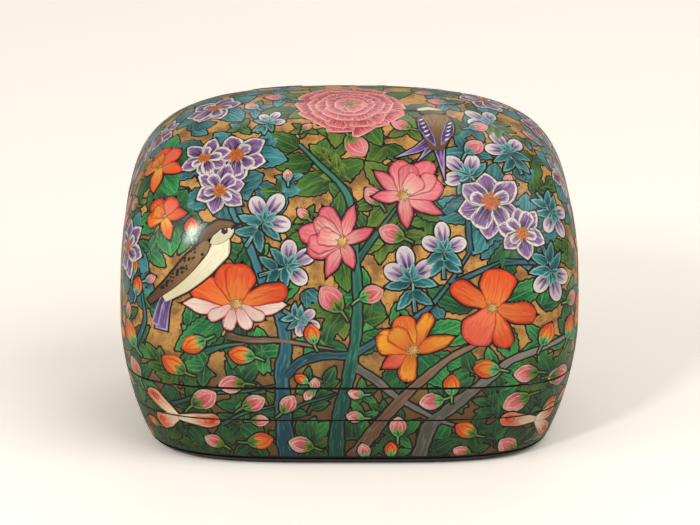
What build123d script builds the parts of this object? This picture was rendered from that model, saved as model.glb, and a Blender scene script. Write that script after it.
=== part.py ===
from build123d import *
import os
from math import cos, pi, sin, sqrt

os.makedirs("parts", exist_ok=True)

# A papier mache box: one pillow-shaped form, moulded hollow, then sawn level into base, tray and lid.
# It stands on Z = 0. Its width lies along X, its depth along Y, and its front faces -Y.
# All sizes are in millimetres.

# Overall sizes
width = 150.0  # left to right at the belly, the widest level
depth = 114.0  # front to back at the belly
base_height = 16.7  # foot to the lower saw line
tray_height = 11.4  # lower saw line to the upper one
lid_height = 82.4  # upper saw line to the crown
belly_rise = 13.9  # upper saw line to the belly
foot_round = 4.0  # radius of the turn under the foot

# Curve of the walls. Above the belly a wall follows (1 - rise^power)^(1 / root),
# below it (1 - fall^low_power)^(1 / low_root), where fall would reach 1 a tuck's length under the foot.
side_power, side_root = 3.27, 3.41
front_power, front_root = 2.0, 2.38
low_power = 1.8
side_low_root, side_tuck = 1.96, 55.0
front_low_root, front_tuck = 3.59, 38.0

# Squareness of the plan, the exponent of its superellipse: 2 is an ellipse, more is squarer
belly_squareness = 5.2
foot_squareness = 3.8
crown_squareness = 1.9
crown_fade = 3.15  # how late on the way up the plan turns round
foot_fade = 1.2  # how late on the way down it does

# Walls, boards and collars
lid_wall = 3.4
base_wall = 4.6
board_thickness = 2.2  # the flat board that closes the foot
tray_board_thickness = 1.8
collar_thickness = 2.0
base_collar_seat = 5.0  # depth of the base collar's seat below the lower saw line
base_collar_stand = 4.5  # height of the base collar above it
tray_collar_stand = 5.5  # height of the tray collar above the upper saw line
tray_ledge = 1.3  # width of the step that carries the tray board
fit_clearance = 0.3  # between a collar and the piece that slides over it

# Bevelled arrises
upper_line_arris = 0.45  # the lid and the tray where they meet
lower_line_arris = 0.3  # the tray and the base where they meet
collar_arris = 0.5  # top edges of a collar

# How finely the curved form is drawn
quarter_steps = 14  # spans in a quarter of an outline
foot_sections = 5
wall_sections = 14
dome_sections = 18
least_step = 0.15  # least height between two sections
crown_flat = 0.005  # the last section lies this far under the crown

# Levels that follow from the sizes
lower_line = base_height
upper_line = lower_line + tray_height
belly_level = upper_line + belly_rise
crown_level = upper_line + lid_height


def turn_under(level):
    """How far the turn under the foot draws the outline in at a level."""
    if level >= foot_round:
        return 0.0
    return foot_round - sqrt(foot_round**2 - (foot_round - level) ** 2)


def half_sizes(level, wall=0.0):
    """Half width and half depth of the form at a level, measured a wall inside its outer face."""
    if level >= belly_level:
        rise = (level - belly_level) / (crown_level - wall - belly_level)
        half_width = (width / 2 - wall) * (1 - rise**side_power) ** (1 / side_root)
        half_depth = (depth / 2 - wall) * (1 - rise**front_power) ** (1 / front_root)
        return half_width, half_depth
    side_fall = (belly_level - level) / (belly_level + side_tuck)
    front_fall = (belly_level - level) / (belly_level + front_tuck)
    drawn_in = wall + turn_under(level)
    half_width = width / 2 * (1 - side_fall**low_power) ** (1 / side_low_root) - drawn_in
    half_depth = depth / 2 * (1 - front_fall**low_power) ** (1 / front_low_root) - drawn_in
    return half_width, half_depth


def squareness(level, wall=0.0):
    """Exponent of the plan's superellipse at a level."""
    if level >= belly_level:
        rise = (level - belly_level) / (crown_level - wall - belly_level)
        return belly_squareness + (crown_squareness - belly_squareness) * rise**crown_fade
    fall = (belly_level - level) / belly_level
    return belly_squareness + (foot_squareness - belly_squareness) * fall**foot_fade


def smaller(halves, step):
    """Both half sizes less the same step."""
    return halves[0] - step, halves[1] - step


def outline_face(level, halves, power):
    """The flat superellipse at a level. Its edge stays four alike quarters, so each wall has four faces."""
    points = []
    for step in range(quarter_steps + 1):
        angle = pi / 2 * step / quarter_steps
        reach = (cos(angle) ** power + sin(angle) ** power) ** (-1 / power)
        points.append((halves[0] * reach * cos(angle), halves[1] * reach * sin(angle)))
    knots = [step / quarter_steps for step in range(quarter_steps + 1)]
    far_right = Edge.make_spline(points, tangents=[(0, 1), (-1, 0)], parameters=knots)
    far_half = [far_right, far_right.mirror(Plane.YZ)]
    near_half = [quarter.mirror(Plane.XZ) for quarter in far_half]
    return Plane.XY.offset(level) * Face(Wire(far_half + near_half))


def levels_between(bottom, top, wall=0.0):
    """Levels of the sections, close together in the turn under the foot and towards the crown."""
    rise = crown_level - wall - belly_level
    foot = [foot_round * (1 - cos(pi / 2 * step / foot_sections)) for step in range(foot_sections)]
    low = [foot_round + (belly_level - foot_round) * step / wall_sections for step in range(wall_sections)]
    dome = [belly_level + rise * sin(pi / 2 * step / dome_sections) for step in range(dome_sections)]
    inner = [level for level in foot + low + dome if bottom + least_step < level < top - least_step]
    return [bottom, *inner, top]


def moulded_form(bottom, top, wall=0.0, bottom_arris=0.0, top_arris=0.0):
    """The form from one level up to another, a wall inside its outer face, with its arrises bevelled."""
    low, high = bottom + bottom_arris, top - top_arris
    rings = [
        outline_face(level, half_sizes(level, wall), squareness(level, wall))
        for level in levels_between(low, high, wall)
    ]
    with BuildPart() as form:
        loft(rings)
        if bottom_arris > 0:
            edge = smaller(half_sizes(low, wall), bottom_arris)
            loft([outline_face(bottom, edge, squareness(low, wall)), rings[0]], ruled=True)
        if top_arris > 0:
            edge = smaller(half_sizes(high, wall), top_arris)
            loft([rings[-1], outline_face(top, edge, squareness(high, wall))], ruled=True)
    return form.part


# Outlines of the upright joints between the pieces
joint_power = squareness(upper_line)
tray_seat = smaller(half_sizes(upper_line), lid_wall + fit_clearance)
collar_pocket = smaller(tray_seat, tray_ledge)
base_collar_outside = smaller(collar_pocket, fit_clearance)

# Levels inside the base and the tray
collar_seat_level = lower_line - base_collar_seat
pocket_top = lower_line + base_collar_stand + fit_clearance
tray_board_top = pocket_top + tray_board_thickness


def collar_ring(bottom, top, outside):
    """An upright strip bent to a ring, with both arrises of its top bevelled."""
    shoulder = top - collar_arris
    inside = smaller(outside, collar_thickness)
    outside_bevel = smaller(outside, collar_arris)
    inside_bevel = smaller(inside, -collar_arris)
    with BuildPart() as ring:
        extrude(outline_face(bottom, outside, joint_power), amount=shoulder - bottom)
        loft(
            [outline_face(shoulder, outside, joint_power), outline_face(top, outside_bevel, joint_power)],
            ruled=True,
        )
        extrude(outline_face(bottom, inside, joint_power), amount=top - bottom, mode=Mode.SUBTRACT)
        loft(
            [outline_face(shoulder, inside, joint_power), outline_face(top, inside_bevel, joint_power)],
            ruled=True,
            mode=Mode.SUBTRACT,
        )
    return ring.part


# Flat board that closes the foot
with BuildPart() as base_board:
    add(moulded_form(0, board_thickness))

# Lower part of the form, open below, with a stepped seat for its collar
with BuildPart() as base_shell:
    add(moulded_form(board_thickness, lower_line, top_arris=lower_line_arris))
    add(moulded_form(board_thickness, lower_line, base_wall), mode=Mode.SUBTRACT)
    extrude(
        outline_face(collar_seat_level, base_collar_outside, joint_power),
        amount=base_collar_seat,
        mode=Mode.SUBTRACT,
    )

# Collar that stands up out of the base and centres the tray
with BuildPart() as base_collar:
    add(collar_ring(collar_seat_level, lower_line + base_collar_stand, base_collar_outside))

# Band between the two saw lines: a pocket below for the base collar, a wider seat above for the tray board
with BuildPart() as tray_band:
    add(moulded_form(lower_line, upper_line, 0.0, lower_line_arris, upper_line_arris))
    extrude(outline_face(lower_line, collar_pocket, joint_power), amount=tray_height, mode=Mode.SUBTRACT)
    extrude(
        outline_face(pocket_top, tray_seat, joint_power),
        amount=upper_line - pocket_top,
        mode=Mode.SUBTRACT,
    )

# Floor of the tray
with BuildPart() as tray_board:
    extrude(outline_face(pocket_top, tray_seat, joint_power), amount=tray_board_thickness)

# Collar that stands on the tray board and centres the lid
with BuildPart() as tray_collar:
    add(collar_ring(tray_board_top, upper_line + tray_collar_stand, tray_seat))

# Domed lid
with BuildPart() as lid_shell:
    add(moulded_form(upper_line, crown_level - crown_flat, bottom_arris=upper_line_arris))
    add(moulded_form(upper_line, crown_level - lid_wall - crown_flat, lid_wall), mode=Mode.SUBTRACT)

pieces = {
    "base_board": base_board,
    "base_shell": base_shell,
    "base_collar": base_collar,
    "tray_band": tray_band,
    "tray_board": tray_board,
    "tray_collar": tray_collar,
    "lid_shell": lid_shell,
}
for piece_name, piece in pieces.items():
    piece.part.label = piece_name
    export_step(piece.part, f"parts/{piece_name}.step")
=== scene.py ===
import bmesh
import bpy
import numpy as np
from math import cos, pi, radians, sin
from mathutils import Matrix, Vector
from mathutils.bvhtree import BVHTree


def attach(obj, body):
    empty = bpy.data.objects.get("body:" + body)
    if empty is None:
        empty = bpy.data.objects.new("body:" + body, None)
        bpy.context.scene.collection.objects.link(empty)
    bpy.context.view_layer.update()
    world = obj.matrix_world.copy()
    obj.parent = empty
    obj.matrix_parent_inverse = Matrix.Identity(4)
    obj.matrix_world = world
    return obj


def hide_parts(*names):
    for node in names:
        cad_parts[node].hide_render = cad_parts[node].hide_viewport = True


# A papier mache box, painted all over in gouache on a gold ground and varnished.
# Lengths are in millimetres until a mesh is finished, then in metres.

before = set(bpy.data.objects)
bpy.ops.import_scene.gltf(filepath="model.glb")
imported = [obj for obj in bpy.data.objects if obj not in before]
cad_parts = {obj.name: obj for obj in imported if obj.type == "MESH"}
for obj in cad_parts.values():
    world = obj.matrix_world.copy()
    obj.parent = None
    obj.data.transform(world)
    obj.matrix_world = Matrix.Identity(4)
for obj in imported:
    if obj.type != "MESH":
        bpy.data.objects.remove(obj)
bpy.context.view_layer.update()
millimetre = 0.001
print("CAD loaded:", ", ".join(sorted(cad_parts)))

# the moulded form, with the same curves as the CAD solids
form = {
    "halfWidth": 75.0,
    "halfDepth": 57.0,
    "lowerLine": 16.7,
    "upperLine": 28.1,
    "belly": 42.0,
    "crown": 110.5,
    "footRound": 4.0,
    "board": 2.2,
    "sideTuck": 97.0,
    "frontTuck": 80.0,
    "core": (0.0, 0.0, 40.0),  # a point inside, from which every outer point is seen
    "span": (75.0, 57.0, 70.0),
    "chartSteps": 240,
    "meshCuts": 107,
}
core = np.array(form["core"])
span = np.array(form["span"])


def outlineAt(level):
    # half width, half depth and squareness of the plan at each level
    rise = np.clip((level - form["belly"]) / (form["crown"] - form["belly"]), 0, 1)
    fall = np.clip(form["belly"] - level, 0, form["belly"])
    under = np.clip(form["footRound"] - level, 0, form["footRound"])
    turn = form["footRound"] - np.sqrt(form["footRound"] ** 2 - under**2)
    upper = level >= form["belly"]
    sideLow = (1 - (fall / form["sideTuck"]) ** 1.8) ** (1 / 1.96)
    frontLow = (1 - (fall / form["frontTuck"]) ** 1.8) ** (1 / 3.59)
    halfWidth = form["halfWidth"] * np.where(upper, (1 - rise**3.27) ** (1 / 3.41), sideLow) - turn
    halfDepth = form["halfDepth"] * np.where(upper, (1 - rise**2) ** (1 / 2.38), frontLow) - turn
    square = np.where(upper, 5.2 - 3.3 * rise**3.15, 5.2 - 1.4 * (fall / form["belly"]) ** 1.2)
    return halfWidth, halfDepth, square


def isOutside(points):
    with np.errstate(all="ignore"):
        halfWidth, halfDepth, square = outlineAt(points[..., 2])
        reach = np.abs(points[..., 0] / halfWidth) ** square + np.abs(points[..., 1] / halfDepth) ** square
    return (points[..., 2] >= form["crown"]) | (reach > 1)


def chartForm():
    # distance and normal of the surface on three faces of a box round the core: top, side and front
    steps = form["chartSteps"]
    u, v = np.meshgrid(np.linspace(0, 1, steps + 1), np.linspace(-1, 1, 2 * steps + 1), indexing="ij")
    one = np.ones_like(u)
    rays = np.stack([np.stack([u, v, one], -1), np.stack([one, u, v], -1), np.stack([u, one, v], -1)]) * span
    near, far = np.full(rays.shape[:3], 0.2), np.full(rays.shape[:3], 1.6)
    for halving in range(24):
        middle = (near + far) / 2
        outside = isOutside(core + rays * middle[..., None])
        near, far = np.where(outside, near, middle), np.where(outside, middle, far)
    surface = core + rays * near[..., None]
    normal = np.cross(
        np.gradient(surface, axis=1, edge_order=2), np.gradient(surface, axis=2, edge_order=2)
    )
    normal *= np.sign((normal * (surface - core)).sum(-1))[..., None]
    normal /= np.linalg.norm(normal, axis=-1, keepdims=True)
    return np.concatenate([near[..., None], normal], -1)


chart = chartForm()
print("form charted:", chart.shape)


def unit(vectors):
    return vectors / np.maximum(np.linalg.norm(vectors, axis=-1, keepdims=True), 1e-9)


def feel(points):
    # how far each point has to be scaled from the core to lie on the surface, the normal there, and its cell
    steps = form["chartSteps"]
    ray = (points - core) / span
    size = np.abs(ray)
    onTop = (ray[:, 2] >= size[:, 0]) & (ray[:, 2] >= size[:, 1])
    face = np.where(onTop, 0, np.where(size[:, 0] >= size[:, 1], 1, 2))
    largest = np.choose(face, (size[:, 2], size[:, 0], size[:, 1]))
    a = np.clip(np.choose(face, (size[:, 0], size[:, 1], size[:, 0])) / largest, 0, 1) * steps
    b = (np.clip(np.choose(face, (size[:, 1], ray[:, 2], ray[:, 2])) / largest, -1, 1) + 1) * steps
    i = np.minimum(a.astype(int), steps - 1)
    j = np.minimum(b.astype(int), 2 * steps - 1)
    a, b = (a - i)[:, None], (b - j)[:, None]
    low = chart[face, i, j] * (1 - a) + chart[face, i + 1, j] * a
    high = chart[face, i, j + 1] * (1 - a) + chart[face, i + 1, j + 1] * a
    found = low * (1 - b) + high * b
    flip = np.where(ray < 0, -1.0, 1.0)
    flip[:, 2] = 1
    corner = (ray[:, 0] < 0) * 2 + (ray[:, 1] < 0)
    cell = ((face * 4 + corner) * (steps // 2 + 1) + i // 2) * (steps + 1) + j // 2
    return found[:, 0] / largest, unit(found[:, 1:] * flip), cell


def settle(points):
    # nearest points of the surface, their normals and cells
    for pull in range(2):
        factor, normal, cell = feel(points)
        gap = ((points - core) * (factor[:, None] - 1) * normal).sum(1)
        points = points + normal * gap[:, None]
    factor, normal, cell = feel(points)
    return core + (points - core) * factor[:, None], normal, cell


def spread(anchors, offsets, legs=6):
    # walks from each anchor along its offset, keeping to the surface
    points = anchors
    reach = np.linalg.norm(offsets, axis=1, keepdims=True)
    way = unit(offsets)
    for leg in range(legs):
        points, normal, cell = settle(points + way * reach / legs)
        way = unit(way - normal * (way * normal).sum(1)[:, None])
    return points, normal, cell


# the camera, where the photograph was taken from
shot = {
    "target": (0.0, 0.0, 50.0),
    "distance": 1300.0,
    "azimuth": -0.695,
    "elevation": 18.383,
    "roll": 0.247,
    "focal": 3921.8,  # in pixels of the 700 x 525 frame
    "centre": (348.71, 268.40),
    "frame": (700, 525),
    "sensor": 36.0,
}
cameraData = bpy.data.cameras.new("camera")
camera = bpy.data.objects.new("camera", cameraData)
bpy.context.scene.collection.objects.link(camera)
bpy.context.scene.camera = camera
azimuth, elevation = radians(shot["azimuth"]), radians(shot["elevation"])
towards = Vector((sin(azimuth) * cos(elevation), -cos(azimuth) * cos(elevation), sin(elevation)))
camera.location = (Vector(shot["target"]) + towards * shot["distance"]) * millimetre
camera.rotation_mode = "QUATERNION"
turned = (-towards).to_track_quat("-Z", "Y").to_matrix() @ Matrix.Rotation(radians(shot["roll"]), 3, "Z")
camera.rotation_quaternion = turned.to_quaternion()
cameraData.sensor_width = shot["sensor"]
cameraData.lens = shot["focal"] / shot["frame"][0] * shot["sensor"]
cameraData.shift_x = (shot["frame"][0] / 2 - shot["centre"][0]) / shot["frame"][0]
cameraData.shift_y = (shot["centre"][1] - shot["frame"][1] / 2) / shot["frame"][0]
cameraData.clip_end = 20


def linear(hexColour):
    channels = [int(hexColour[k : k + 2], 16) / 255 for k in (1, 3, 5)]
    return [c / 12.92 if c <= 0.04045 else ((c + 0.055) / 1.055) ** 2.4 for c in channels] + [1.0]


def newMaterial(name):
    material = bpy.data.materials.new(name)
    material.use_nodes = True
    return material, material.node_tree, material.node_tree.nodes["Principled BSDF"]


def add(tree, kind, settings=None, inputs=None):
    # adds a node; an input is given a value, or linked to the socket that is given
    node = tree.nodes.new("ShaderNode" + kind)
    for name, value in (settings or {}).items():
        setattr(node, name, value)
    for name, value in (inputs or {}).items():
        if isinstance(value, bpy.types.NodeSocket):
            tree.links.new(value, node.inputs[name])
        else:
            node.inputs[name].default_value = value
    return node


def paintOver(tree, tone, paint, value, low, high, most=1.0, blend="MIX"):
    # lays paint over a tone: none of it where value is at low, the most where it is at high
    share = add(
        tree,
        "MapRange",
        {"interpolation_type": "SMOOTHSTEP"},
        {"Value": value, "From Min": low, "From Max": high, "To Max": most},
    )
    tone, paint = (linear(colour) if isinstance(colour, str) else colour for colour in (tone, paint))
    mixed = {0: share.outputs[0], 6: tone, 7: paint}
    return add(tree, "Mix", {"data_type": "RGBA", "blend_type": blend}, mixed).outputs[2]


varnish = {"roughness": 0.45, "specular": 0.2, "coat": 0.5, "coatRoughness": 0.15, "coatIor": 1.5}
paintedShade = {"dark": "#766c5f", "bottom": 8.0, "top": 46.0}  # painted shade: colours are darkened from the top level down to the bottom one, where the walls face the floor


def finish(tree, shader, colour, shadeStrength=0.7):
    # hand-rubbed clear varnish over flat paint: a soft, slightly spread shine; painted shade darkens the colour low
    # down
    position = add(tree, "TexCoord").outputs["Object"]
    height = add(tree, "SeparateXYZ", None, {0: position}).outputs[2]
    top, bottom = paintedShade["top"] * millimetre, paintedShade["bottom"] * millimetre
    colour = paintOver(tree, colour, paintedShade["dark"], height, top, bottom, shadeStrength, "MULTIPLY")
    tree.links.new(colour, shader.inputs["Base Color"])
    shader.inputs["Roughness"].default_value = varnish["roughness"]
    shader.inputs["Specular IOR Level"].default_value = varnish["specular"]
    shader.inputs["Coat Weight"].default_value = varnish["coat"]
    shader.inputs["Coat Roughness"].default_value = varnish["coatRoughness"]
    shader.inputs["Coat IOR"].default_value = varnish["coatIor"]


def goldGround():
    # flat gold-ochre paint, brushed on by hand: patches of about 6 mm, grain of 1 mm, dark specks of 0.5 mm
    material, tree, shader = newMaterial("gold_ground_paint")
    position = add(tree, "TexCoord").outputs["Object"]
    patches, grain, specks = (
        add(tree, "TexNoise", None, {"Vector": position, "Scale": 1 / (size * millimetre), "Detail": detail})
        for size, detail in ((6.0, 4.0), (1.1, 2.0), (0.6, 1.0))
    )
    tone = paintOver(tree, "#93683a", "#dba355", patches.outputs[0], 0.34, 0.6)
    tone = paintOver(tree, tone, "#87602f", grain.outputs[0], 0.52, 0.76, 0.5)
    tone = paintOver(tree, tone, "#3f2a1a", specks.outputs[0], 0.63, 0.70, 0.8)
    height = add(tree, "SeparateXYZ", None, {0: position}).outputs[2]
    # painted shade: the ground turns dark brown towards the bottom, with a patchy edge
    shadeLevel = add(tree, "Math", {"operation": "MULTIPLY_ADD"}, {0: patches.outputs[0], 1: 0.03, 2: height})
    finish(tree, shader, paintOver(tree, tone, "#755b3b", shadeLevel.outputs[0], 0.07, 0.038, 0.85), 0.6)
    return material


def blackLacquer(name, colour):
    # black oil paint under varnish, as on the foot, the lips of the joints and the inside
    material, tree, shader = newMaterial(name)
    position = add(tree, "TexCoord").outputs["Object"]
    patches = add(tree, "TexNoise", None, {"Vector": position, "Scale": 220.0, "Detail": 3.0})
    finish(tree, shader, paintOver(tree, colour, "#2b211a", patches.outputs[0], 0.3, 0.7))
    return material


def gouache(name, veins=0.0, streaks=0.35, rimShare=0.9, line=0.0, shadeStrength=0.4):
    # opaque gouache laid on in fine brush strokes: a stroke's colour runs from its root to its tip,
    # with hair-wide streaks along it, a feathered rim of another tone and a thin darker edge
    material, tree, shader = newMaterial(name)
    root, tip, rim, where, habit = (
        add(tree, "Attribute", {"attribute_name": attribute})
        for attribute in ("rootColour", "tipColour", "rimColour", "brushPlace", "brushHabit")
    )
    root, tip, rim = root.outputs["Color"], tip.outputs["Color"], rim.outputs["Color"]
    along, side, edge = add(tree, "SeparateXYZ", None, {0: where.outputs["Vector"]}).outputs[:]
    seed, run, rimWidth = add(tree, "SeparateXYZ", None, {0: habit.outputs["Vector"]}).outputs[:]
    hair = add(tree, "CombineXYZ", None, {0: along, 1: side, 2: seed}).outputs[0]
    hair = add(tree, "VectorMath", {"operation": "MULTIPLY"}, {0: hair, 1: (0.2, 2.0, 9.0)}).outputs[0]
    streak = add(tree, "TexNoise", None, {"Vector": hair, "Scale": 1.0, "Detail": 3.0}).outputs[0]
    lean = add(tree, "Math", {"operation": "MULTIPLY_ADD"}, {0: streak, 1: 0.9, 2: run}).outputs[0]
    tone = paintOver(tree, root, tip, lean, 0.55, 1.3)
    tone = paintOver(tree, tone, rim, streak, 0.54, 0.66, streaks)
    tone = paintOver(tree, tone, root, streak, 0.46, 0.34, 0.5)
    wider = add(tree, "Math", {"operation": "ADD"}, {0: run, 1: 0.45}).outputs[0]
    wider = add(tree, "Math", {"operation": "MULTIPLY"}, {0: wider, 1: rimWidth}).outputs[0]
    inward = add(tree, "Math", {"operation": "DIVIDE"}, {0: edge, 1: wider}).outputs[0]
    ragged = add(tree, "Math", {"operation": "MULTIPLY_ADD"}, {0: streak, 1: 3.2, 2: inward}).outputs[0]
    tone = paintOver(tree, tone, rim, ragged, 2.75, 2.1, rimShare)
    if veins:
        across = add(tree, "Math", {"operation": "ABSOLUTE"}, {0: side}).outputs[0]
        slant = add(tree, "Math", {"operation": "MULTIPLY"}, {0: along, 1: 0.5}).outputs[0]
        slant = add(tree, "Math", {"operation": "MULTIPLY_ADD"}, {0: across, 1: -0.42, 2: slant}).outputs[0]
        comb = add(tree, "Math", {"operation": "PINGPONG"}, {0: slant, 1: 0.5}).outputs[0]
        tone = paintOver(tree, tone, rim, comb, 0.11, 0.02, veins * 0.6)
        tone = paintOver(tree, tone, rim, across, 0.26, 0.1, veins * 1.6)
    if line:
        tone = paintOver(tree, tone, "#1a1512", edge, 0.26, 0.1, line)
    finish(tree, shader, tone, shadeStrength)
    return material


def inkPaint():
    # lampblack ink, the outline of every motif, a little uneven where the brush ran dry
    material, tree, shader = newMaterial("lampblack_ink")
    position = add(tree, "TexCoord").outputs["Object"]
    dry = add(tree, "TexNoise", None, {"Vector": position, "Scale": 500.0, "Detail": 2.0})
    finish(tree, shader, paintOver(tree, "#17120f", "#332820", dry.outputs[0], 0.45, 0.75))
    return material


groundMaterial = goldGround()
lacquerMaterial = blackLacquer("black_lacquer", "#17120f")
collarMaterial = blackLacquer("dark_red_lacquer", "#3a1712")
paintMaterials = {
    # each paint's last setting is how strongly painted shade darkens it on the lower walls
    "outlines": inkPaint(),
    "leaves": gouache("gouache_leaf", veins=0.2, streaks=0.3, rimShare=0.3, line=0.4, shadeStrength=0.5),
    "branches": gouache("gouache_bark", streaks=0.5, rimShare=0.25, line=0.4, shadeStrength=0.35),
    "blossoms": gouache("gouache_petal", streaks=0.3, line=0.5, shadeStrength=0.12),
    "buds": gouache("gouache_bud", streaks=0.3, line=0.45, shadeStrength=0.1),
    "birds": gouache("gouache_feather", streaks=0.4, line=0.3),
}
print("materials ready:", len(bpy.data.materials))

# the three moulded pieces: a papier mache wall, its outside painted, its inside and foot lacquered black
skin = {
    "depth": 0.33,  # the ground lies this far inside the CAD surface, which the last coat of paint reaches
    "lift": 0.03,  # the first coat over the ground
    "coat": 0.0095,
    "footBand": 3.4,
    "lidWall": 3.07,
    "lowWall": 4.24,
    "trayWall": 3.34,
    "upperArris": 0.45,
    "lowerArris": 0.3,
}
shells = {  # node: body, bottom, top, wall, arris at the bottom, arris at the top
    "lid_shell": ("lid", form["upperLine"], None, skin["lidWall"], skin["upperArris"], 0.0),
    "tray_band": (
        "tray",
        form["lowerLine"],
        form["upperLine"],
        skin["trayWall"],
        skin["lowerArris"],
        skin["upperArris"],
    ),
    "base_shell": ("base", form["board"], form["lowerLine"], skin["lowWall"], 0.0, skin["lowerArris"]),
}


def closedForm():
    # a cube, finely divided and drawn onto the surface
    bm = bmesh.new()
    bmesh.ops.create_cube(bm, size=2)
    bmesh.ops.subdivide_edges(bm, edges=bm.edges[:], cuts=form["meshCuts"], use_grid_fill=True)
    bm.verts.ensure_lookup_table()
    points = core + np.array([vert.co for vert in bm.verts]) * span
    factor, normal, cell = feel(points)
    points = core + (points - core) * factor[:, None]
    for vert, point in zip(bm.verts, points):
        vert.co = point
    bm.normal_update()
    return bm, points, normal


def cutLevel(bm, level, clear):
    bmesh.ops.bisect_plane(
        bm,
        geom=bm.verts[:] + bm.edges[:] + bm.faces[:],
        dist=1e-4,
        plane_co=(0, 0, level),
        plane_no=(0, 0, 1),
        clear_outer=clear == "above",
        clear_inner=clear == "below",
    )


def finishPiece(bm, name, body, materials):
    bm.transform(Matrix.Scale(millimetre, 4))
    mesh = bpy.data.meshes.new(name)
    bm.to_mesh(mesh)
    bm.free()
    mesh.shade_smooth()
    for material in materials:
        mesh.materials.append(material)
    piece = bpy.data.objects.new(name, mesh)
    bpy.context.scene.collection.objects.link(piece)
    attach(piece, body)
    return piece


def readPlaces(values, attribute):
    # the values of one kind in a mesh's list, three to a row
    places = np.zeros(len(values) * 3)
    values.foreach_get(attribute, places)
    return places.reshape(-1, 3)


wholeForm, formPoints, formNormals = closedForm()
formTree = BVHTree.FromBMesh(wholeForm)
faceAreas = np.array([face.calc_area() for face in wholeForm.faces])
faceCentres = np.array([face.calc_center_median() for face in wholeForm.faces])
for vert, point, normal in zip(wholeForm.verts, formPoints, formNormals):
    vert.co = point - normal * skin["depth"]
wholeMesh = bpy.data.meshes.new("wholeForm")
wholeForm.to_mesh(wholeMesh)
wholeForm.free()

for node, (body, bottom, top, wall, lowArris, highArris) in shells.items():
    bm = bmesh.new()
    bm.from_mesh(wholeMesh)
    cutLevel(bm, bottom, "below")
    if top:
        cutLevel(bm, top, "above")
    for level, arris in ((bottom, lowArris), (top, -highArris)):
        if arris:
            cutLevel(bm, level + arris, None)
            lip = [vert for vert in bm.verts if abs(vert.co.z - level) < 1e-3]
            bm.normal_update()
            for vert in lip:
                away = Vector((vert.normal.x, vert.normal.y, 0)).normalized()
                vert.co -= away * abs(arris)
    bm.normal_update()
    bmesh.ops.solidify(bm, geom=bm.faces[:], thickness=wall)
    bmesh.ops.recalc_face_normals(bm, faces=bm.faces[:])
    piece = finishPiece(bm, node + "_painted", body, [groundMaterial, lacquerMaterial])
    mesh = piece.data
    centres = readPlaces(mesh.polygons, "center") / millimetre
    nearest, normal, cell = settle(centres)
    depth = ((nearest - centres) * normal).sum(1)
    black = (np.abs(depth - skin["depth"]) > 0.08) | (centres[:, 2] < skin["footBand"])
    mesh.polygons.foreach_set("material_index", black.astype(np.int32))
    mesh.set_sharp_from_angle(angle=radians(35))
    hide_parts(node)
    print("shell", node, "faces", len(mesh.polygons))

for node, material in (
    ("base_board", lacquerMaterial),
    ("tray_board", lacquerMaterial),
    ("base_collar", collarMaterial),
    ("tray_collar", collarMaterial),
):
    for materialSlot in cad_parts[node].material_slots:
        materialSlot.material = material

# brush strokes: each is a small grid, shaped in the plane and then laid onto the surface
rng = np.random.default_rng(7)
strokes = []  # every stroke of the painting
templates = {}
brush = {"ink": 0.56, "cell": 0.9, "tooth": 2.0, "smoothing": 6}  # in mm

profiles = {  # half width along a stroke, as a share of its widest
    "petal": lambda t: (0.25 + 0.75 * t**0.8) * np.sqrt(1 - t**5) / 0.93,
    "broad": lambda t: (0.2 + 0.95 * t) * (1 - t**3.2) ** 0.6 / 0.82,
    "scallop": lambda t: (0.35 + 0.75 * t) * (1 - t**4) ** 0.5 / 0.88,
    "pointed": lambda t: (0.3 + 1.6 * t) * (1 - t**1.7) / 0.80,
    "leaf": lambda t: t**0.5 * (1 - t) ** 0.8 / 0.42,
    "bud": lambda t: t**0.5 * (1 - t**2.2) / 0.545,
    "disc": lambda t: 2 * np.sqrt(t * (1 - t)),
    "stem": lambda t: 1 - 0.45 * t,
    "thorn": lambda t: 1.02 - t,
    "tail": lambda t: 0.55 + 0.45 * t,
}

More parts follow.
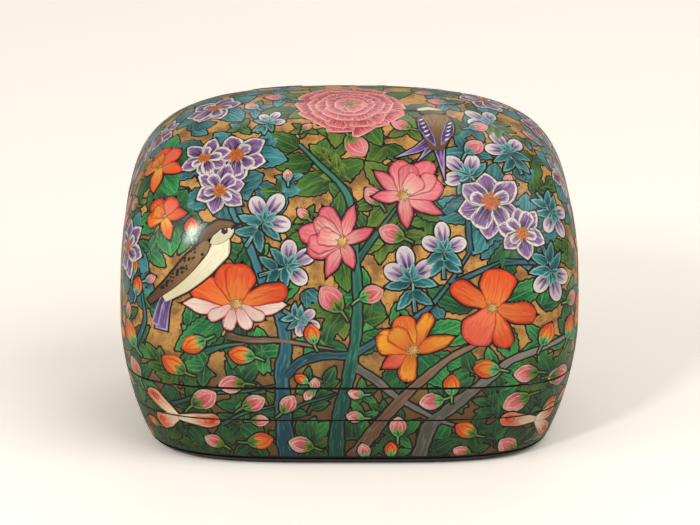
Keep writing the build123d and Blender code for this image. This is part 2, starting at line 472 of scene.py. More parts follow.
paints = {  # root, tip, rim, and the rim's width in mm
    "rose": ("#b5304a", "#f27e7c", "#fcc8ba", 0.5),
    "pink": ("#f3a79d", "#e8727b", "#c93f56", 0.6),
    "palePink": ("#f9cdb6", "#ee8d8c", "#cf4a5e", 0.6),
    "budPink": ("#d8475a", "#ec8186", "#f6b3a6", 0.5),
    "orange": ("#f3a838", "#ec6f28", "#df4420", 0.5),
    "flame": ("#f5863c", "#ef5a2a", "#cc3219", 0.75),
    "coral": ("#f27a50", "#ee6148", "#cf382b", 0.8),
    "amber": ("#df6a22", "#f2a430", "#cc3d1e", 0.8),
    "heart": ("#44205c", "#8d66a0", "#cdb3c8", 0.3),
    "purple": ("#2f1046", "#8c6299", "#f4e8d8", 0.85),
    "lilac": ("#b08fb2", "#e0d2d0", "#efe5da", 0.5),
    "whitePink": ("#eeb2aa", "#f2dccb", "#d94a62", 0.4),
    "shell": ("#fbe9c4", "#e9603c", "#f3ae84", 0.4),
    "lowPink": ("#c93550", "#ec7f7c", "#f8d8c6", 0.4),
    "leafGreen": ("#1c4521", "#46752c", "#86a24a", 0.5),
    "leafOlive": ("#33521c", "#65822e", "#9cab50", 0.5),
    "leafBright": ("#0f5f35", "#2c9147", "#8ccb78", 0.5),
    "leafDark": ("#14402a", "#2a6a3a", "#67a05c", 0.5),
    "leafTeal": ("#17555c", "#3a8d90", "#90c4be", 0.5),
    "leafBlue": ("#184b50", "#2f7676", "#80b2ac", 0.5),
    "trunkTeal": ("#1d4c5c", "#2f7280", "#6ba3a8", 0.9),
    "trunkGreen": ("#16564a", "#2a7460", "#5fa084", 0.9),
    "trunkBrown": ("#745240", "#92705a", "#b39a80", 0.9),
    "trunkGrey": ("#68665c", "#878376", "#aca798", 0.9),
    "pollen": ("#c48a3c", "#e6c88c", "#b8742c", 0.2),
    "pollenRed": ("#e0602a", "#d2341f", "#f2b24a", 0.2),
    "birdBack": ("#694a2e", "#98764a", "#3a281c", 0.4),
    "birdCap": ("#5e432a", "#86663f", "#3a281c", 0.4),
    "birdBelly": ("#f4e8bc", "#fbf3d2", "#cdbb8e", 0.4),
    "birdTail": ("#452768", "#83609f", "#cdb8d8", 0.4),
    "birdWing": ("#2c1645", "#5a3a7c", "#b9a2c8", 0.3),
    "ink": ("#1a1410", "#1a1410", "#2c211a", 0.3),
    "eye": ("#3a1216", "#5a1c22", "#1a1410", 0.2),
    "white": ("#ffffff", "#fdf8ee", "#efe4d2", 0.2),
}


def gridTemplate(columns, rows):
    if (columns, rows) not in templates:
        bm = bmesh.new()
        bmesh.ops.create_grid(bm, x_segments=columns, y_segments=rows, size=1)
        mesh = bpy.data.meshes.new("brushGrid")
        bm.to_mesh(mesh)
        bm.free()
        places = readPlaces(mesh.vertices, "co")
        templates[columns, rows] = (mesh, (places[:, 0] + 1) / 2, places[:, 1])
    return templates[columns, rows]


def line(points, width, profile, paint, outlined=True, teeth=0.0):
    # one stroke of a motif along points of its own plane, in mm
    return {
        "spine": np.array(points, float),
        "width": width,
        "profile": profile,
        "paint": paint,
        "teeth": teeth,
        "outlined": outlined,
        "wave": rng.uniform(0, 6) if profile in ("broad", "petal", "pointed") else None,
    }


def blade(angle, start, end, width, profile, paint, bend=0.0, at=(0, 0), teeth=0.0, outlined=True):
    # a stroke drawn outwards from a point of the motif; bend curves it sideways
    t = np.linspace(0, 1, 9)
    away = start + (end - start) * t
    aside = bend * (end - start) * t**2
    c, s = cos(radians(angle)), sin(radians(angle))
    points = np.stack([at[0] + away * c - aside * s, at[1] + away * s + aside * c], -1)
    return line(points, width, profile, paint, outlined, teeth)


def makeStroke(kind, place, part, rank, grow=0.0):
    spine = part["spine"]
    run = np.concatenate([[0], np.cumsum(np.hypot(*np.diff(spine, axis=0).T))])
    length = run[-1]
    tangent = np.gradient(spine, run, axis=0)
    cell = brush["cell"] * (1.2 if grow else 1)
    columns = int(np.clip(np.ceil((length + 2 * grow) / cell), 3, 80))
    rows = int(np.clip(np.ceil(2 * (part["width"] + grow) / cell), 2, 24))
    if part["teeth"]:
        columns = max(8, 2 * round(length / brush["tooth"]))
    mesh, t, s = gridTemplate(columns, rows)
    if part["profile"] in ("petal", "broad", "scallop", "disc", "bud", "pointed"):
        t = (1 - np.cos(pi * t)) / 2  # rows closer together at both ends, where the outline is round
    along = t * (length + 2 * grow) - grow
    share = np.clip(along / length, 0, 1)
    half = part["width"] * profiles[part["profile"]](share)
    if part["teeth"]:
        half = half * (1 - part["teeth"] * (np.round(t * columns).astype(int) % 2))
    if part["wave"] is not None:  # petal edges waver, each side its own way, and the tip is drawn out
        half = half * (1 + 0.11 * share * np.sin(12 * share + part["wave"] + 2 * np.sign(s)))
        along = along + 0.09 * length * share**6 * (1 - np.abs(s)) ** 2
    half = half + grow
    x, y = (
        np.interp(along, run, spine[:, axis])
        + np.minimum(along, 0) * tangent[0, axis]
        + np.maximum(along - length, 0) * tangent[-1, axis]
        for axis in (0, 1)
    )
    heading = unit(np.stack([np.interp(along, run, tangent[:, axis]) for axis in (0, 1)], -1))
    anchor, east, north, normal = place
    return {
        "kind": kind,
        "mesh": mesh,
        "shape": (rows + 1, columns + 1, 3),
        "anchors": np.broadcast_to(anchor, (len(t), 3)),
        "offsets": (x - s * half * heading[:, 1])[:, None] * east
        + (y + s * half * heading[:, 0])[:, None] * north,
        "brushPlace": np.stack(
            [along, s * half, np.minimum(half * (1 - np.abs(s)), np.minimum(along, run[-1] - along) + grow)], -1
        ),
        "run": share,
        "paint": part["paint"],
        "rank": rank,
    }


def lay(kind, place, parts, rank):
    # the dark outline of the whole motif first, then its strokes from the back to the front; mates share a coat
    motif = len(strokes)
    for part in parts:
        if part["outlined"]:
            strokes.append(makeStroke("outlines", place, part, rank, brush["ink"]))
            strokes[-1]["mates"] = rank
    for part in parts:
        strokes.append(makeStroke(kind, place, part, rank + 0.5))
        isDab = part["profile"] == "disc" and part["width"] < 0.8
        strokes[-1]["mates"] = (motif, part["paint"]) if isDab else None


def placeAt(point, turn=0.0):
    # a point of the surface with its own east and north, turned by an angle
    point, normal, cell = settle(np.array(point, float)[None])
    point, normal = point[0], normal[0]
    upwards = np.array((0, 0.35, 1.0))
    north = unit(upwards - normal * np.dot(upwards, normal))
    east = np.cross(north, normal)
    c, s = cos(radians(turn)), sin(radians(turn))
    return point, east * c + north * s, north * c - east * s, normal


def spot(x, y):
    # the point of the form that a pixel of the photograph shows
    right, up, back = (turned.col[k] for k in range(3))
    u, v = (x - shot["centre"][0]) / shot["focal"], (y - shot["centre"][1]) / shot["focal"]
    origin = Vector(shot["target"]) + towards * shot["distance"]
    hit = formTree.ray_cast(origin, (right * u - up * v - back).normalized())[0]
    return np.array(hit) if hit else None


def behind(point):
    return np.array((-point[0], -point[1], point[2]))


def jitter(amount):
    return rng.uniform(-amount, amount)


def interleave(parts):
    return parts[0::2] + parts[1::2]


def leafSpray(reach, greens, count, start=0.05, wide=0.3, arc=360.0, first=0.0):
    # leaves spread round a point, from a start to their reach
    ring = []
    for k in range(count):
        angle = first + arc * (k + 0.5) / count + jitter(0.22 * arc / count)
        end = reach * (1 + jitter(0.12))
        green = greens[rng.integers(len(greens))]
        width = wide * (end - start * reach)
        ring.append(blade(angle, start * reach, end, width, "leaf", green, jitter(0.16), teeth=0.13))
    return interleave(ring)


def twig(length, greens, count=5):
    # a curved stem with leaves on both sides and one at its end
    green = greens[rng.integers(len(greens))]
    bend = jitter(0.25)
    parts = [blade(90, -0.6 * length, 0.35 * length, 0.45, "stem", green, bend)]
    for k in range(count):
        at = (-bend * length * (k / count) ** 2, length * (-0.45 + 0.75 * k / count))
        angle = 90 + (42 if k % 2 else -42) * (1 + jitter(0.25))
        reach = length * rng.uniform(0.4, 0.5)
        parts.append(blade(angle, 0.3, reach, 0.3 * reach, "leaf", green, jitter(0.15), at, 0.13))
    at = (-bend * length, length * 0.3)
    parts.append(blade(90 + 40 * bend, 0, length * 0.48, length * 0.15, "leaf", green, 0, at, 0.13))
    return parts


def dahlia(size):
    # five rings of scalloped petals round a small brown eye
    rings = ((1.0, 14), (0.82, 12), (0.64, 11), (0.47, 9), (0.31, 6), (0.0, 0))
    parts = [line(((-0.9 * size, 0), (0.9 * size, 0)), 0.9 * size, "disc", "rose")]
    for row, (reach, count) in enumerate(rings[:-1]):
        ring = []
        for k in range(count):
            angle = 360 * (k + 0.5 * (row % 2)) / count + jitter(6)
            width = 1.35 * pi * reach * size / count * (1 + jitter(0.18))
            start, end = size * (rings[row + 1][0] - 0.03), size * reach * (1 + jitter(0.06))
            ring.append(blade(angle, start, end, width, "scallop", "rose", jitter(0.25), outlined=row == 0))
        parts += interleave(ring)
    parts.append(line(((-0.15 * size, 0), (0.15 * size, 0)), 0.13 * size, "disc", "trunkBrown", False))
    for k in range(7):
        parts.append(blade(51 * k, size * 0.03, size * 0.15, size * 0.04, "petal", "pollen", outlined=False))
    return parts


def starBlossom(size):
    # purple petals feathered to cream edges, the front ones cupped, round an orange-red eye
    ring = []
    for k in range(6):
        angle, end = 90 + 60 * k + jitter(10), size * (1.02 + jitter(0.12))
        ring.append(blade(angle, size * 0.08, end, size * 0.36, "pointed", "purple", jitter(0.2)))
    parts = interleave(ring)
    for angle, reach, wide in ((28, 0.62, 0.24), (152, 0.62, 0.24), (-50, 0.72, 0.3), (-118, 0.78, 0.37)):
        end = size * reach * (1 + jitter(0.1))
        parts.append(blade(angle + jitter(10), 0, end, size * wide, "broad", "purple", jitter(0.15), outlined=False))
    eye = (0, size * 0.06)
    for k in range(11):
        angle = 33 * k + jitter(8)
        parts.append(blade(angle, size * 0.1, size * 0.29, size * 0.06, "disc", "pollenRed", 0, eye, outlined=False))
    parts.append(blade(0, -size * 0.17, size * 0.17, size * 0.15, "disc", "pollenRed", 0, eye, outlined=False))
    for k in range(5):
        parts.append(blade(72 * k, size * 0.05, size * 0.13, size * 0.04, "disc", "pollen", 0, eye, outlined=False))
    return parts


# petals from the back to the front: angle, reach, half width, profile, paint; reach and width per mm of size
petalTables = {
    "lotus": (
        (8, 1.35, 0.25, "pointed", "pink"),
        (174, 1.3, 0.25, "pointed", "pink"),
        (-45, 1.1, 0.24, "pointed", "pink"),
        (224, 1.0, 0.24, "pointed", "pink"),
        (50, 1.3, 0.42, "broad", "pink"),
        (130, 1.25, 0.42, "broad", "pink"),
        (92, 1.55, 0.44, "broad", "pink"),
        (68, 1.2, 0.4, "broad", "palePink"),
        (112, 1.15, 0.42, "broad", "pink"),
        (88, 0.88, 0.44, "petal", "palePink"),
    ),
    "amber": (
        (-15, 1.4, 0.27, "pointed", "amber"),
        (35, 1.3, 0.3, "petal", "amber"),
        (178, 1.1, 0.28, "pointed", "coral"),
        (226, 1.05, 0.34, "petal", "amber"),
        (128, 1.2, 0.5, "broad", "amber"),
        (80, 1.15, 0.48, "broad", "orange"),
        (104, 0.92, 0.42, "petal", "amber"),
    ),
    "wildRose": (
        (152, 1.05, 0.29, "broad", "flame"),
        (-10, 1.08, 0.31, "petal", "flame"),
        (-68, 1.05, 0.28, "broad", "flame"),
        (-117, 1.0, 0.46, "broad", "coral"),
        (74, 0.92, 0.5, "broad", "flame"),
    ),
    "water": (
        (183, 1.0, 0.21, "pointed", "whitePink"),
        (-5, 0.97, 0.21, "pointed", "whitePink"),
        (150, 0.97, 0.31, "petal", "flame"),
        (22, 0.97, 0.25, "petal", "flame"),
        (208, 0.62, 0.16, "petal", "whitePink"),
        (-30, 0.62, 0.16, "petal", "whitePink"),
        (-112, 0.55, 0.16, "petal", "whitePink"),
        (-66, 0.55, 0.16, "petal", "whitePink"),
        (103, 0.78, 0.33, "broad", "flame"),
        (80, 0.78, 0.33, "broad", "flame"),
    ),
    "marigold": (
        (0, 1.15, 0.32, "pointed", "flame"),
        (-82, 1.2, 0.32, "pointed", "orange"),
        (120, 1.05, 0.5, "broad", "flame"),
        (60, 1.0, 0.5, "broad", "coral"),
        (180, 0.95, 0.46, "petal", "orange"),
        (140, 0.72, 0.5, "petal", "amber"),
    ),
    "shellStar": (
        (130, 1.05, 0.26, "petal", "shell"),
        (191, 0.72, 0.32, "petal", "shell"),
        (-13, 1.1, 0.27, "petal", "shell"),
    ),
}
eyes = {"lotus": 0.2, "amber": 0.2, "wildRose": 0.13, "water": 0.12, "marigold": 0.13}  # half width of the eye


def tableBlossom(name, size):
    low = -0.4 if name in ("lotus", "amber") else 0.0  # a cup is drawn from its foot
    foot = (0, size * low)
    parts = []
    for angle, reach, wide, profile, paint in petalTables[name]:
        end = size * reach * (1 + jitter(0.04))
        width = size * wide * (1 + jitter(0.05))
        parts.append(blade(angle + jitter(4), 0, end, width, profile, paint, jitter(0.08), foot))
        if name == "shellStar":
            parts.append(blade(angle, end * 0.62, end * 0.9, width * 0.34, "leaf", "flame", outlined=False))
    if name in eyes:
        eye = size * eyes[name]
        parts.append(blade(0, -eye, eye, eye * 0.8, "disc", "pollen", 0, foot, outlined=False))
        for k in range(8):
            angle = 45 * k + jitter(8)
            parts.append(blade(angle, eye * 0.5, eye * 1.3, eye * 0.16, "disc", "pollen", 0, foot, outlined=False))
    return parts


def bud(size, paint, greens):
    # three wrapped petals in a calyx of small leaves
    green = greens[0]
    foot = (0, -0.5 * size)
    parts = [blade(-90, 0, size * 0.5, 0.4, "stem", green, jitter(0.3), foot)]
    parts.append(blade(97, 0, size * 0.97, size * 0.36, "bud", paint, -0.1, foot))
    parts.append(blade(83, 0, size * 0.97, size * 0.36, "bud", paint, 0.1, foot, outlined=False))
    parts.append(blade(92, 0, size * 0.86, size * 0.24, "bud", paint, 0, foot, outlined=False))
    for angle in (38, 142, 90):
        parts.append(blade(angle, -0.1 * size, size * 0.42, size * 0.12, "leaf", green, 0, foot))
    return parts


def trioSprig(size, greens):
    # three pale buds with purple hearts on a stem with slender leaves
    parts = [blade(90, -size, size * 0.2, 0.5, "stem", greens[0], jitter(0.15))]
    for angle, low, reach in ((200, 0, 0.85), (-20, 0, 0.85), (228, -0.3, 0.8), (-48, -0.3, 0.8), (168, 0.1, 0.5)):
        green = greens[rng.integers(len(greens))]
        at = (0, size * low)
        parts.append(blade(angle + jitter(12), 0, size * reach, size * 0.19, "leaf", green, jitter(0.25), at, 0.13))
    for angle, start, end in ((152, 0.2, 0.92), (30, 0.2, 0.92), (92, 0.32, 1.1)):
        at = (0, size * 0.05)
        turn = angle + jitter(6)
        parts.append(blade(turn, size * start, size * end, size * 0.29, "disc", "lilac", 0, at))
        for lean, reach in ((-9, 0.8), (8, 0.86)):
            parts.append(blade(turn + lean, size * start, size * end * reach, size * 0.07, "leaf", "heart", 0, at, outlined=False))
        for lean in (-22, 22):
            tip = size * (start + 0.26)
            parts.append(blade(turn + lean, 0, tip, size * 0.1, "leaf", greens[0], 0, at, outlined=False))
    return parts


def songBird():
    # perched, its head up to the right
    parts = [
        line(((-9, -6.5), (-11.5, -13), (-13, -20)), 2.3, "tail", "birdTail"),
        line(((-10, -6.5), (-13, -12), (-15.2, -18.5)), 1.4, "tail", "birdTail", False),
        line(((-11.5, -10), (-5, -5.8), (2, 0), (6.8, 5.5), (8, 12)), 4.2, "petal", "birdBelly"),
        line(((3.2, 8.4), (7, 11.2), (11.2, 13.4)), 3.3, "disc", "birdBelly"),
        line(((10.2, 13.1), (13, 14), (16.2, 14.6)), 1.0, "thorn", "ink", False),
        line(((0.6, 5.6), (2.6, 10.8), (6.6, 13.9), (11.8, 14)), 1.8, "disc", "birdCap"),
        line(((-17, -11), (-10, -5.6), (-3, 1), (3.4, 8.6)), 3.3, "petal", "birdBack"),
        line(((7.3, 11.3), (9.5, 12.3)), 1.15, "disc", "eye", False),
        line(((8.4, 12.3), (8.9, 12.5)), 0.26, "disc", "white", False),
    ]
    for step in range(30):
        along, aside = 6 + 0.6 * step, jitter(1) * (0.5 + 0.055 * step)
        x, y = -17 + 0.743 * along - 0.671 * aside, -11 + 0.7 * along + 0.743 * aside
        size = rng.uniform(0.35, 0.6)
        parts.append(line(((x, y), (x + 1.6 * size, y + 1.6 * size)), size, "disc", "ink", False))
    return parts


def backBird():
    # seen from behind, with barred wings and a forked tail
    parts = [
        line(((-1, -4), (-4.5, -9), (-8, -13)), 1.8, "thorn", "birdTail"),
        line(((-1.5, -4), (-8, -8.5), (-15, -11)), 2.3, "thorn", "birdTail"),
        line(((-0.6, -4), (-0.4, -12), (0, -20)), 2.3, "thorn", "birdTail"),
        line(((-1.4, -9), (-0.8, -2), (0, 4), (0.2, 9.5)), 7.4, "petal", "birdBack"),
        line(((-4.8, 7.5), (-4.4, 1), (-1.6, -7.5)), 1.7, "bud", "birdWing"),
        line(((4.6, 5.5), (3.6, 0), (0.2, -7)), 1.7, "bud", "birdWing"),
        line(((-4.4, 9.6), (0, 11.6), (3.8, 10)), 2.3, "disc", "birdCap"),
        line(((-3.5, 11.4), (-6.2, 11.9), (-9.2, 11.7)), 0.7, "thorn", "ink"),
        line(((-5.5, 11.6), (-1.5, 12.8), (3.5, 11.8)), 1.1, "leaf", "birdBelly", False),
    ]
    for x, y, lean in ((-4.8, 5.6, 0.28), (4.4, 3.8, -0.5)):
        for step in range(5):
            a, b = x + lean * step, y - 2 * step
            bar = ((a - 1.0, b - 0.5), (a, b - 0.1), (a + 1.0, b + 0.8))
            parts.append(line(bar, 0.36, "leaf", "white", False))
    return parts


def branch(points, width, paint, rank, taper=0.8):
    # a branch along points of the surface; each row of its grid has its own anchor
    points = np.array([point for point in points if point is not None])
    run = np.concatenate([[0], np.cumsum(np.linalg.norm(np.diff(points, axis=0), axis=1))])
    knots = np.linspace(0, run[-1], max(4, int(run[-1] / 1.2)))
    smooth = np.stack([np.interp(knots, run, points[:, axis]) for axis in range(3)], -1)
    for blur in range(brush["smoothing"]):
        smooth[1:-1] = (smooth[:-2] + smooth[2:]) / 4 + smooth[1:-1] / 2
    smooth, normals, cell = settle(smooth)
    headings = np.gradient(smooth, axis=0)
    length = knots[-1]
    for kind, grow, order in (("outlines", brush["ink"], rank), ("branches", 0.0, rank + 0.5)):
        columns, rows = int(np.clip(length / 1.1, 4, 160)), max(2, round(2 * width / 0.9))
        mesh, t, s = gridTemplate(columns, rows)
        spots, heading = (
            np.stack([np.interp(t * length, knots, values[:, axis]) for axis in range(3)], -1)
            for values in (smooth, headings)
        )
        spots, normal, cell = settle(spots)
        across = unit(np.cross(normal, heading))
        knobs = 1 + 0.1 * np.sin(t * length * 0.45 + rank) + 0.06 * np.sin(t * length * 1.3 + 2 * rank)
        half = width * (1 - taper * t) * knobs + grow
        strokes.append(
            {
                "kind": kind,
                "mesh": mesh,
                "shape": (rows + 1, columns + 1, 3),
                "anchors": spots,
                "offsets": across * (s * half)[:, None],
                "brushPlace": np.stack([t * length, s * half, half * (1 - np.abs(s))], -1),
                "run": t,
                "paint": paint,
                "rank": order,
                "mates": rank if kind == "outlines" else None,
            }
        )


# the painting: one plan, laid over the front by pixels of the photograph and turned round for the back
ranks = {"leaves": 1.0, "ringLeaves": 2.0, "branches": 2.6, "sprigs": 3.4, "buds": 4.2, "blossoms": 5.0, "birds": 7.0}

branches = (  # half width in mm, paint, pixels
    (3.0, "trunkTeal", "292,464 284,430 283,394 281,369 287,350 283,322 262,280 247,240 233,215 228,196"),
    (2.4, "trunkGreen", "336,464 337,425 346,390 356,340 358,300 356,260 352,220 350,197 338,181 321,166 299,144"),
    (1.5, "trunkTeal", "285,376 300,361 322,355 350,357 372,344 402,326 430,308 452,280 470,252"),
    (1.0, "trunkTeal", "450,285 478,272 500,262"),
    (2.3, "trunkBrown", "352,458 387,415 412,389 449,358 478,343 505,338"),
    (2.5, "trunkGrey", "419,457 429,425 465,397 490,378 510,360 545,347 572,330"),
    (1.5, "trunkGrey", "351,365 376,380 395,397 439,421 470,430"),
    (1.1, "trunkBrown", "228,336 250,341 278,340 307,345 335,350"),
    (0.5, "trunkGreen", "222,425 240,414 262,409 285,404"),
    (0.6, "trunkGreen", "172,404 205,393 245,392 284,384"),
    (0.5, "trunkGreen", "290,412 306,402 320,400 336,394"),
    (1.1, "trunkGreen", "356,262 372,240 386,222 398,205"),
    (0.9, "trunkTeal", "470,252 468,225 470,195 474,175"),
    (0.9, "trunkTeal", "505,262 540,262 551,275"),
    (0.9, "trunkGreen", "206,352 225,345 245,344"),
    (0.8, "trunkTeal", "135,350 146,320 141,290 138,268"),
)

ringLeaves = {  # greens of a blossom's leaves, their number, and how far they show beyond it in mm
    "dahlia": (("leafOlive", "leafGreen"), 8, 6.5),
    "star": (("leafTeal", "leafBlue"), 4, 5.0),
    "lotus": (("leafGreen", "leafOlive", "leafGreen"), 4, 6.5),
    "water": (("leafBright", "leafBright", "leafDark"), 5, 6.0),
    "wildRose": (("leafBright", "leafBright", "leafDark"), 5, 7.0),
    "amber": (("leafBright", "leafDark"), 5, 7.0),
    "marigold": (("leafBright", "leafDark"), 5, 5.0),
    "shellStar": (("leafGreen", "leafDark"), 5, 0.5),
}

blooms = (  # pixel, kind, size in mm, turn
    (350, 104, "dahlia", 17.0, 0),
    (236, 156, "star", 10.5, 20),
    (205, 158, "star", 8.0, 60),
    (220, 189, "star", 8.5, 170),
    (214, 108, "star", 10.0, 0),
    (331, 238, "lotus", 9.5, 70),
    (411, 186, "lotus", 10.0, -38),
    (491, 203, "star", 11.5, 0),
    (522, 232, "star", 8.5, 195),
    (538, 130, "star", 9.0, 60),
    (561, 178, "star", 8.0, 90),
    (236, 304, "water", 17.0, 0),
    (492, 308, "wildRose", 14.0, 0),
    (406, 340, "amber", 10.5, 30),
    (160, 166, "marigold", 8.5, 0),
    (164, 216, "marigold", 7.0, 10),
    (178, 417, "shellStar", 12.5, 0),
    (536, 419, "shellStar", 12.0, 200),
)

buds = {  # paint: pixel, length in mm, turn
    "budPink": (
        ((357, 146), 9.5, -150),
        ((400, 124), 6.5, 60),
        ((480, 126), 6.5, -80),
        ((475, 146), 7.5, -50),
        ((390, 233), 8.0, 70),
        ((330, 298), 9.5, 40),
        ((373, 294), 7.5, -70),
        ((424, 92), 7.0, 90),
    ),
    "orange": (
        ((172, 364), 8.5, 50),
        ((192, 345), 8.0, 110),
        ((240, 355), 8.0, 80),
        ((312, 333), 6.5, 10),
        ((133, 264), 6.5, -10),
        ((137, 285), 6.0, -20),
        ((129, 331), 9.5, 20),
        ((548, 333), 7.5, -20),
        ((570, 325), 7.5, 0),
        ((485, 369), 8.0, 85),
        ((452, 384), 7.0, 0),
        ((465, 430), 7.5, 60),
        ((262, 441), 8.0, -80),
        ((391, 449), 5.5, 0),
        ((551, 403), 6.5, -40),
    ),
    "lowPink": (
        ((230, 385), 8.0, 95),
        ((205, 399), 9.0, -60),
        ((255, 403), 7.5, -65),
        ((261, 421), 5.5, -90),
        ((213, 441), 6.5, 60),
        ((315, 384), 4.5, 0),
        ((308, 396), 4.0, 150),
        ((355, 394), 5.0, 80),
        ((354, 417), 5.5, 80),
        ((398, 426), 7.0, 0),
        ((430, 402), 7.5, 100),
        ((515, 403), 9.0, 120),
        ((525, 374), 8.0, 95),
        ((556, 376), 7.5, 100),
        ((461, 452), 6.0, 70),
    ),
}

sprigs = (  # pixel, size in mm, turn
    ((263, 222), 9.5, -35),
    ((286, 266), 9.0, -70),
    ((470, 176), 9.0, 40),
    ((510, 152), 9.0, 10),
    ((411, 281), 10.0, 8),
    ((444, 252), 8.5, 0),
    ((551, 271), 9.0, -160),
    ((552, 212), 8.0, -150),
    ((300, 320), 6.0, -120),
    ((268, 122), 6.0, -30),
)

sprays = (  # pixel, reach in mm, number of leaves, direction, arc, greens
    ((299, 148), 12.5, 1, 150, 0, "olive"),
    ((317, 163), 10.5, 1, 72, 0, "olive"),
    ((313, 161), 13.0, 1, 190, 0, "olive"),
    ((333, 177), 12.5, 1, 196, 0, "olive"),
    ((331, 176), 11.5, 1, 28, 0, "olive"),
    ((352, 199), 10.0, 1, 150, 0, "olive"),
    ((398, 200), 11.5, 1, 212, 0, "olive"),
    ((366, 238), 11.0, 1, 118, 0, "olive"),
    ((362, 246), 12.0, 1, 15, 0, "olive"),
    ((308, 234), 8.5, 2, 190, 70, "olive"),
    ((301, 112), 13.5, 1, 178, 0, "olive"),
    ((404, 110), 11.0, 2, 10, 60, "olive"),
    ((385, 145), 9.0, 3, 230, 220, "olive"),
    ((395, 160), 8.5, 2, -60, 120, "olive"),
    ((468, 108), 9.5, 2, 10, 60, "olive"),
    ((462, 130), 9.0, 2, 150, 120, "olive"),
    ((343, 312), 9.5, 2, 200, 90, "olive"),
    ((360, 322), 8.5, 2, 40, 90, "olive"),
    ((434, 214), 7.5, 2, 230, 90, "olive"),
    ((383, 240), 7.5, 2, 230, 100, "olive"),
    ((250, 262), 9.0, 3, 90, 160, "bright"),
    ((190, 328), 7.5, 3, 20, 200, "bright"),
    ((262, 352), 8.5, 3, 0, 240, "bright"),
    ((205, 366), 8.0, 3, 180, 240, "bright"),
    ((150, 252), 7.5, 4, 90, 360, "bright"),
    ((150, 308), 7.0, 3, 60, 240, "bright"),
    ((325, 345), 7.0, 3, 60, 240, "bright"),
    ((540, 305), 8.5, 2, 40, 110, "bright"),
    ((428, 362), 11.5, 2, -20, 100, "bright"),
    ((376, 346), 7.5, 2, 150, 110, "bright"),
    ((470, 372), 7.5, 3, 100, 260, "bright"),
    ((500, 392), 7.5, 3, 30, 240, "bright"),
    ((290, 372), 6.5, 2, 150, 130, "bright"),
    ((240, 425), 8.0, 4, 200, 300, "bright"),
    ((310, 440), 8.5, 3, 90, 120, "bright"),
    ((352, 440), 8.5, 3, 90, 120, "bright"),
    ((440, 440), 8.0, 3, 60, 180, "bright"),
    ((495, 440), 8.0, 4, 60, 240, "bright"),
    ((262, 148), 7.5, 2, 60, 100, "teal"),
    ((192, 195), 8.0, 2, 200, 120, "teal"),
    ((256, 184), 9.5, 1, -35, 0, "teal"),
    ((192, 130), 7.5, 3, 40, 200, "teal"),
    ((466, 206), 9.5, 1, 175, 0, "teal"),
    ((496, 238), 8.5, 2, 262, 70, "teal"),
    ((538, 248), 8.0, 2, -50, 110, "teal"),
    ((432, 298), 8.5, 2, -40, 100, "teal"),
    ((522, 180), 8.0, 2, 60, 120, "teal"),
    ((306, 290), 6.5, 2, -60, 100, "teal"),
)
sprayGreens = {
    "olive": ("leafGreen", "leafOlive", "leafGreen"),
    "bright": ("leafBright", "leafDark", "leafBright"),
    "teal": ("leafTeal", "leafBlue"),
}

birds = (((198, 268), "songBird", 13.0), ((438, 130), "backBird", 9.0))  # pixel, kind, room in mm

taken = []  # centres and radii of the blossoms and birds
zones = []  # centres of the blossoms with their greens, for the small motifs round them
covered = np.zeros(12 * (form["chartSteps"] // 2 + 1) * (form["chartSteps"] + 1), bool)


def between(stroke):
    # points halfway between those of a stroke's grid
    grid = stroke["points"].reshape(stroke["shape"])
    along, across = (grid[:, 1:] + grid[:, :-1]) / 2, (grid[1:] + grid[:-1]) / 2
    return np.concatenate([part.reshape(-1, 3) for part in (along, across, (along[1:] + along[:-1]) / 2)])


def wrapStrokes():
    # lays the strokes made since the last call onto the surface and notes what they cover
    fresh = [stroke for stroke in strokes if "points" not in stroke]
    counts = [len(stroke["run"]) for stroke in fresh]
    points, normals, cells = spread(
        np.concatenate([stroke["anchors"] for stroke in fresh]),
        np.concatenate([stroke["offsets"] for stroke in fresh]),
    )
    covered[cells] = True
    for stroke, end, count in zip(fresh, np.cumsum(counts), counts):
        stroke["points"] = points[end - count : end]
        stroke["normals"] = normals[end - count : end]
    extra = [between(stroke) for stroke in fresh]
    halfway = feel(np.concatenate(extra))[2]
    for stroke, end, count, last, points in zip(
        fresh, np.cumsum(counts), counts, np.cumsum([len(points) for points in extra]), extra
    ):
        mine = np.concatenate([cells[end - count : end], halfway[last - len(points) : last]])
        stroke["cells"] = np.unique(mine)


def free(point, radius, pack=1.0):
    return all(np.linalg.norm(point - other) > (radius + r) * pack for other, r in taken)


def paintBloom(point, kind, size, turn):
    place = placeAt(point, turn)
    greens, count, beyond = ringLeaves[kind]
    reach = size + beyond
    leafPlace = place
    if kind == "lotus" or kind == "amber":
        leafPlace = placeAt(place[0] - place[2] * 0.3 * size, turn)
    leaves = leafSpray(reach, greens, count, 0.4 * size / reach, 4.2 / (reach - 0.4 * size), 360, jitter(60))
    lay("leaves", leafPlace, leaves, ranks["ringLeaves"])
    if kind == "dahlia":
        parts = dahlia(size)
    elif kind == "star":
        parts = starBlossom(size)
    else:
        parts = tableBlossom(kind, size)
    lay("blossoms", place, parts, ranks["blossoms"])
    taken.append((place[0], size))
    zones.append((place[0], greens, kind))


def greensNear(point):
    return min(zones, key=lambda zone: np.linalg.norm(zone[0] - point))[1:]


def paintBud(point, size, turn, paint, leaves=4):
    place = placeAt(point, turn)
    greens = greensNear(place[0])[0]
    foot = placeAt(place[0] - place[2] * 0.45 * size, turn)
    spray = leafSpray(size * 1.15, greens, leaves, 0.05, 0.27, 300, 120)
    lay("leaves", foot, spray, ranks["leaves"])
    lay("buds", place, bud(size, paint, greens), ranks["buds"])


def paintBird(point, kind, room):
    place = placeAt(point)
    lay("birds", place, songBird() if kind == "songBird" else backBird(), ranks["birds"])
    taken.append((place[0], room))


